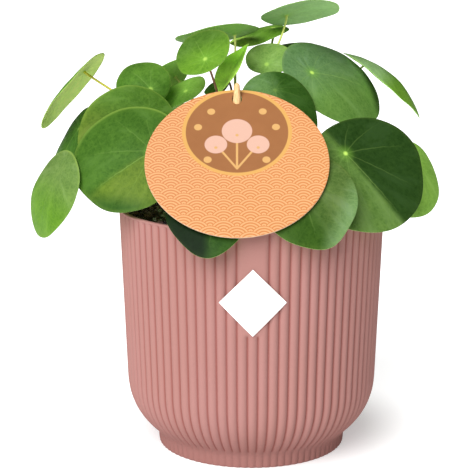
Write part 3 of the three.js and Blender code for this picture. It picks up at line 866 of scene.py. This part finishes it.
def soil_material():
    graph = Graph("peat", Specular_IOR_Level=0.3)
    place = graph.place()
    tone = graph.attribute("tone", "Color")
    grain = graph.noise(place, 1500, 5, 0.7)
    wet = graph.step(graph.noise(place, 220, 3), 0.5, 0.7)
    color = graph.mix(graph.step(grain, 0.4, 0.66), graph.times(tone, 0.12, 0.11, 0.12), tone)
    glint = graph.step(graph.noise(place, 2300, 2), 0.6, 0.68)
    color = graph.mix(glint * 0.5, color, srgb(214, 204, 220))
    return graph.finish(color, 0.95 - wet * 0.35, graph.bump(grain, 0.0006, 0.9))


def soil_height(x, y):
    lumps = np.sin(x / 5.1 + 1) * np.cos(y / 6.3) + 0.6 * np.sin(x / 3.3 - y / 4.1)
    fine = 0.5 * np.sin(x * 1.1 + y * 0.7) * np.sin(y * 1.3 - x * 0.4)
    return SOIL_TOP + SOIL_LUMPS * lumps + 0.5 * fine


def build_soil():
    rng = np.random.RandomState(11)
    top_radius = wall_radius(SOIL_TOP) - POT_WALL - 0.15
    _, cos, sin = circle(200)
    rings = [np.array([[0, 0, soil_height(0, 0)]])]
    for share in np.linspace(0.02, 1, 60):
        x, y = top_radius * share * cos, top_radius * share * sin
        rough = rng.uniform(-0.35, 0.35, len(x)) * (1 if share < 1 else 0)
        rings.append(stacked(x, y, soil_height(x, y) + rough))
    wall = [(wall_radius(height) - POT_WALL - 0.4, height) for height in (110, 80, 50)]
    for radius, height in (*wall, *SOIL_FOOT):
        rings.append(stacked(radius * cos, radius * sin, height))
    rings.append(np.array([[0, 0, 4.8]]))
    points, faces, _ = skin(rings)
    all_points, all_faces = [points], list(faces)
    tones = [np.broadcast_to(np.array(srgb(*PEAT)), (len(points), 4))]
    # Crumbs of peat, bark and a little grit, half sunk in the top: uneven 20-sided balls
    golden = (1 + math.sqrt(5)) / 2
    corners = [(-1, golden, 0), (1, golden, 0), (-1, -golden, 0), (1, -golden, 0)]
    corners += [(0, -1, golden), (0, 1, golden), (0, -1, -golden), (0, 1, -golden)]
    corners += [(golden, 0, -1), (golden, 0, 1), (-golden, 0, -1), (-golden, 0, 1)]
    ball = np.array(corners) / math.hypot(1, golden)
    sides = [(0, 11, 5), (0, 5, 1), (0, 1, 7), (0, 7, 10), (0, 10, 11), (1, 5, 9), (5, 11, 4)]
    sides += [(11, 10, 2), (10, 7, 6), (7, 1, 8), (3, 9, 4), (3, 4, 2), (3, 2, 6), (3, 6, 8)]
    sides += [(3, 8, 9), (4, 9, 5), (2, 4, 11), (6, 2, 10), (8, 6, 7), (9, 8, 1)]
    shades, grit = [srgb(*shade) for shade in SHADES], srgb(*GRIT)
    count = len(points)
    for k in range(CRUMBS):
        distance = (top_radius - 2) * math.sqrt(rng.uniform(0.02, 1))
        bearing = rng.uniform(0, 2 * math.pi)
        x, y = distance * math.cos(bearing), distance * math.sin(bearing)
        size = rng.uniform(*(CRUMB_SIZES if k % CLOD_EVERY else CLOD_SIZES))
        stretch = rng.uniform(0.6, 1.5, 3) * (1, 1, 0.7)
        turned = rng.uniform(0, math.pi)
        lump = ball * rng.uniform(0.75, 1.2, (len(ball), 1)) * stretch * size
        c, s = math.cos(turned), math.sin(turned)
        lx, ly, lz = lump.T
        place = np.array([x, y, min(soil_height(x, y), SOIL_TOP + 2.2) + size * 0.15])
        all_points.append(place + stacked(lx * c - ly * s, lx * s + ly * c, lz))
        all_faces.extend([[count + corner for corner in side] for side in sides])
        tone = grit if rng.uniform() < GRIT_SHARE else shades[rng.randint(len(shades))]
        tones.append(np.broadcast_to(np.array(tone), (len(ball), 4)))
        count += len(ball)
    mesh = make_mesh("soil", np.concatenate(all_points), all_faces, smooth=False)
    set_values(mesh, "tone", "FLOAT_COLOR", "POINT", np.concatenate(tones))
    return add_piece("peat_soil", mesh, soil_material(), "soil", "soil")


# Card

CARD_RADIUS = 45.6
CARD_THICKNESS = 0.8
CARD_CENTRE = np.array([-7.7, -45.6, 157.9])
CARD_LEAN = math.radians(43.6)
CARD_HOLE_RISE = 39.8
CARD_HOLE_HALF_WIDTH = 2.5
CARD_HOLE_HALF_HEIGHT = 3.4
CARD_COLUMNS = 200
CARD_SHARES = (
    0.004, 0.02, 0.05, 0.1, 0.2, 0.32, 0.45, 0.58, 0.7, 0.8, 0.88, 0.94, 0.98, 0.996,
)
WAVE_RADIUS = 6.45
WAVE_LINES = 4
MEDAL_RISE = 18.6
MEDAL_RADIUS = 27.5
MEDAL_RING = 1.9
# The medallion's motif, measured from the card's middle: x, y, radius
MOTIF_LEAVES = ((0, 19, 7.6), (-10.5, 10.5, 5.6), (10.5, 10.5, 5.6))
MOTIF_FOOT = (0, -4.5)
MOTIF_DOTS = (
    (-19.5, 21.5, 2), (19.5, 21.5, 2), (-13, 31.5, 2), (13, 31.5, 2), (-14.5, 1, 2), (14.5, 1, 2),
)


def card_material():
    graph = Graph("printed_card", Specular_IOR_Level=0.4)
    x, y, side = graph.parts(graph.attribute("print"))
    place = graph.place()
    fibre = graph.noise(place, 1600, 4, 0.6)
    # Overlapping fans: of the rows that reach a point, the lowest one lies on top
    across = x / (2 * WAVE_RADIUS)
    up = y / (WAVE_RADIUS / 2)
    row = graph.math("FLOOR", up)

    def fan(below):
        this = row - below
        shift = graph.math("FLOORED_MODULO", this, 2.0) * 0.5
        place_across = across + shift
        aside = (place_across - graph.math("ROUND", place_across)) * (2 * WAVE_RADIUS)
        return graph.hypot(aside, (up - this) * (WAVE_RADIUS / 2))

    low, mid, high = fan(1.0), fan(0.0), fan(-1.0)
    in_low = graph.math("LESS_THAN", low, WAVE_RADIUS)
    in_mid = graph.math("LESS_THAN", mid, WAVE_RADIUS)
    upper = mid * in_mid + high * (1 - in_mid)
    ring = low * in_low + upper * (1 - in_low)
    phase = graph.math("FRACT", ring / (WAVE_RADIUS / WAVE_LINES) + 0.02)
    line = graph.step(graph.math("ABSOLUTE", phase - 0.5), 0.2, 0.34)
    base = graph.mix(graph.step(fibre, 0.3, 0.7) * 0.15, srgb(209, 159, 109), srgb(205, 150, 97))
    ink = graph.mix(graph.step(y - x, 30, -40) * 0.8, srgb(190, 112, 62), srgb(192, 114, 52))
    color = graph.mix(line * 0.9, base, ink)

    # Medallion, with a plain motif of three round leaves among small dots
    def within(distance, radius, soft=0.18):
        return graph.step(distance, radius + soft, radius - soft)

    def disc(cx, cy, radius):
        return within(graph.hypot(x - cx, y - cy), radius)

    def bar(ax, ay, bx, by, half):
        length = math.hypot(bx - ax, by - ay)
        ux, uy = (bx - ax) / length, (by - ay) / length
        dx, dy = x - ax, y - ay
        along = graph.math("MINIMUM", graph.math("MAXIMUM", dx * ux + dy * uy, 0.0), length)
        return within(graph.hypot(dx - along * ux, dy - along * uy), half)

    def most(masks):
        total, *others = masks
        for mask in others:
            total = graph.math("MAXIMUM", total, mask)
        return total

    away = graph.hypot(x, y - MEDAL_RISE)
    gold = srgb(201, 156, 95)
    color = graph.mix(within(away, MEDAL_RADIUS, 0.2), color, srgb(203, 154, 82))
    cloud = graph.step(graph.noise(place, 120, 3), 0.3, 0.7)
    brown = graph.mix(cloud * 0.4, srgb(147, 95, 53), srgb(138, 87, 46))
    color = graph.mix(within(away, MEDAL_RADIUS - MEDAL_RING, 0.2), color, brown)
    color = graph.mix(most(disc(*dot) for dot in MOTIF_DOTS), color, gold)
    stalks = most(bar(*MOTIF_FOOT, cx, cy, 0.55) for cx, cy, _ in MOTIF_LEAVES)
    color = graph.mix(stalks, color, gold)
    color = graph.mix(most(disc(*leaf) for leaf in MOTIF_LEAVES), color, srgb(205, 164, 145))
    eyes = most(disc(cx, cy - r * 0.35, 0.8) for cx, cy, r in MOTIF_LEAVES)
    color = graph.mix(eyes, color, gold)
    # Plain card on the back and on the cut edge
    color = graph.mix(graph.step(side, 0.4, 0.6), color, srgb(200, 168, 138))
    return graph.finish(color, 0.46 + fibre * 0.14, graph.bump(fibre, 0.00004, 0.5))


def build_card():
    _, cos, sin = circle(CARD_COLUMNS)
    # From the hole's edge outwards, each ray ends on the card's rim
    hole = np.stack([CARD_HOLE_HALF_WIDTH * cos, CARD_HOLE_RISE + CARD_HOLE_HALF_HEIGHT * sin], 1)
    along = -CARD_HOLE_RISE * sin + np.sqrt(CARD_RADIUS**2 - (CARD_HOLE_RISE * cos) ** 2)
    rim = np.stack([along * cos, CARD_HOLE_RISE + along * sin], 1)
    lean_cos, lean_sin = math.cos(CARD_LEAN), math.sin(CARD_LEAN)
    lean = np.array([[1, 0, 0], [0, lean_cos, -lean_sin], [0, lean_sin, lean_cos]])
    # Over the front, round the rim, back below and round the hole: share of the way, depth, side
    top = CARD_THICKNESS
    rows = [(share, top, 0) for share in CARD_SHARES]
    rows += [(0.9995, top - 0.06, 0), (1, top - 0.16, 1), (1, 0.16, 1), (0.9995, 0.06, 1)]
    rows += [(share, 0, 1) for share in CARD_SHARES[::-1]]
    rows += [(0.0005, 0.06, 1), (0, 0.16, 1), (0, top - 0.16, 1), (0.0005, top - 0.06, 0)]
    rings, prints = [], []
    for share, depth, side in rows:
        x, y = (hole + (rim - hole) * share).T
        warp = 0.12 * np.sin(x / 14) * np.sin(y / 17)
        rings.append(CARD_CENTRE + stacked(x, y, depth + warp) @ lean.T)
        prints.append(stacked(x, y, side))
    points, faces, _ = skin(rings, looped=True)
    mesh = make_mesh("card", points, faces)
    set_values(mesh, "print", "FLOAT_VECTOR", "POINT", np.concatenate(prints))
    return add_piece("round_card", mesh, card_material(), "card", "card")


# Pick

PICK_RADIUS = 2.2
PICK_TIP_RADIUS = 1.3
PICK_FOOT, PICK_TOP = 96, 194
PICK_TAPER = 11


def pick_material():
    graph = Graph("bamboo", Specular_IOR_Level=0.35)
    place = graph.place()
    grain = graph.noise(graph.scaled(place, 1, 1, 0.06), 2600, 4)
    bands = graph.noise(graph.scaled(place, 0.2, 0.2, 1), 60, 2)
    color = graph.mix(graph.step(grain, 0.35, 0.7), srgb(232, 198, 146), srgb(200, 152, 96))
    color = graph.mix(graph.step(bands, 0.5, 0.65) * 0.35, color, srgb(156, 104, 56))
    return graph.finish(color, 0.5 + grain * 0.2, graph.bump(grain, 0.0002, 0.7))


def build_pick():
    rise = CARD_HOLE_RISE * math.cos(CARD_LEAN) - CARD_THICKNESS / 2 * math.sin(CARD_LEAN)
    x, y = CARD_CENTRE[0], CARD_CENTRE[1] + rise
    heights = np.concatenate([
        [PICK_FOOT + 0.05, PICK_FOOT + 3], np.linspace(PICK_FOOT + 7, PICK_TOP - PICK_TAPER, 24),
        PICK_TOP - PICK_TAPER * np.linspace(0.9, 0.06, 20), [PICK_TOP - 0.35, PICK_TOP - 0.05],
    ])
    taper = np.clip((PICK_TOP - heights) / PICK_TAPER, 0, 1)
    radii = PICK_TIP_RADIUS + (PICK_RADIUS - PICK_TIP_RADIUS) * taper
    below_top = np.clip((PICK_TOP - heights) / PICK_TIP_RADIUS, 0.01, 1)
    radii *= np.sqrt(1 - (1 - below_top) ** 2)
    radii[:2] = [0.05, 1.2]
    path = np.column_stack([np.full(len(heights), x), np.full(len(heights), y), heights])
    points, faces, _ = skin(tube(path, radii, 24))
    mesh = make_mesh("pick", points, faces)
    return add_piece("wooden_pick", mesh, pick_material(), "pick_wood", "pick")


# Stage, in metres and degrees

FLOOR_HALF = 30
# The floor's glow is weaker close to the pot, so that a shadow shows there and not farther off
GLOW_NEAR, GLOW_GAIN = 0.42, 0.43
GLOW_FROM, GLOW_TO = 0.06, 0.12
WORLD_LIGHT = 0.1
KEY_LIGHT, KEY_WIDTH, KEY_BEARING, KEY_RISE = 4.5, 50, -116, 37
CAMERA_PLACE = (-0.0087, -0.8, 0.2792)
CAMERA_TARGET = (-0.0087, 0, 0.1117)
CAMERA_LENS, CAMERA_SENSOR = 118.54, 36


def build_stage():
    """A pale floor, soft light from the upper left, and the photograph's camera."""
    scene = bpy.context.scene
    scene.view_settings.view_transform = "Standard"
    mesh = bpy.data.meshes.new("floor")
    corners = [(x * FLOOR_HALF, y * FLOOR_HALF, 0) for x, y in ((-1, -1), (1, -1), (1, 1), (-1, 1))]
    mesh.from_pydata(corners, [], [(0, 1, 2, 3)])
    floor = bpy.data.objects.new("floor", mesh)
    scene.collection.objects.link(floor)
    graph = Graph(
        "floor_paper", Base_Color=(0.72, 0.72, 0.72, 1), Roughness=0.9, Specular_IOR_Level=0,
        Emission_Color=(1, 1, 1, 1),
    )
    x, y, _ = graph.parts(graph.place())
    glow = graph.step(graph.hypot(x, y), GLOW_FROM, GLOW_TO) * GLOW_GAIN + GLOW_NEAR
    graph.put(glow, graph.shader.inputs["Emission Strength"])
    mesh.materials.append(graph.material)

    world = bpy.data.worlds.new("studio")
    scene.world = world
    world.use_nodes = True
    background = world.node_tree.nodes["Background"]
    background.inputs["Color"].default_value = (1, 1, 1, 1)
    background.inputs["Strength"].default_value = WORLD_LIGHT

    key = bpy.data.lights.new("key", "SUN")
    key.energy = KEY_LIGHT
    key.angle = math.radians(KEY_WIDTH)
    lamp = bpy.data.objects.new("key", key)
    scene.collection.objects.link(lamp)
    rise = math.radians(KEY_RISE)
    shine = slanted(math.radians(KEY_BEARING), math.cos(rise), math.sin(rise))
    lamp.rotation_euler = shine.to_track_quat("Z", "Y").to_euler()

    camera = bpy.data.cameras.new("camera")
    camera.lens = CAMERA_LENS
    camera.sensor_width = CAMERA_SENSOR
    eye = bpy.data.objects.new("camera", camera)
    scene.collection.objects.link(eye)
    eye.location = CAMERA_PLACE
    eye.rotation_euler = (Vector(CAMERA_TARGET) - eye.location).to_track_quat("-Z", "Y").to_euler()
    camera.clip_end = 100
    scene.camera = eye


leaf_skin = leaf_material()
for index, leaf in enumerate(LEAVES):
    build_leaf(index, leaf, leaf_skin)
build_stem()
build_pot()
build_label()
build_soil()
build_card()
build_pick()
build_stage()
